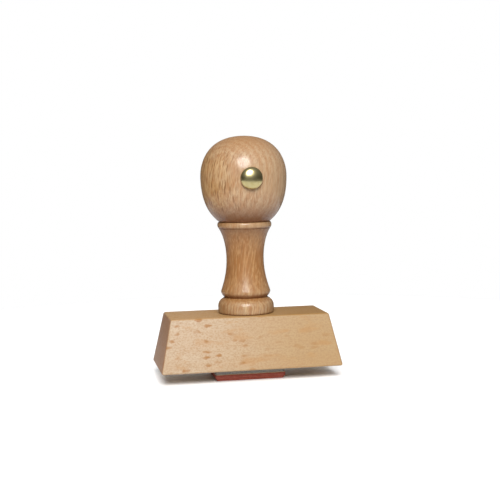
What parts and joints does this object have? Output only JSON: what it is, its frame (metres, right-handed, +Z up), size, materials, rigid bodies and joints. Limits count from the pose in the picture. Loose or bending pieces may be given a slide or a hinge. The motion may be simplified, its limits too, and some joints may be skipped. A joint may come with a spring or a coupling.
{
  "type": "rubber stamp",
  "caption": "Hand stamp with a ball-topped turned wooden handle on a sloping wooden block, with a rubber die on a foam cushion under it.",
  "frame": {"origin": "centre of the print face, the plane that the stamp stands on", "axes": "+Z up along the handle, +X along the block's length, -Y towards the front that the brass nail marks"},
  "size_m": [0.0668, 0.0345, 0.0896],
  "materials": {
    "handle_wood": "turned beech under a clear gloss varnish",
    "block_wood": "sanded pale beech, satin",
    "steel": "zinc plated",
    "brass": "bright plated dome",
    "adhesive_film": "translucent double-sided film",
    "foam": "closed-cell foam",
    "die_rubber": "matt engraved rubber"
  },
  "bodies": {
    "mount": {"handle": "handle_wood", "block": "block_wood", "hanger_screw": "steel", "nail_cap": "brass", "nail_pin": "steel", "upper_adhesive_film": "adhesive_film", "foam_cushion": "foam"},
    "die": {"lower_adhesive_film": "adhesive_film", "rubber_die": "die_rubber"}
  },
  "joints": [
    {"name": "cushion_press", "type": "slide", "parent": "mount", "child": "die", "axis": [0, 0, 1], "range_m": [0, 0.0007], "stiffness_N_per_m": 25000, "deforming": ["foam_cushion"]}
  ]
}
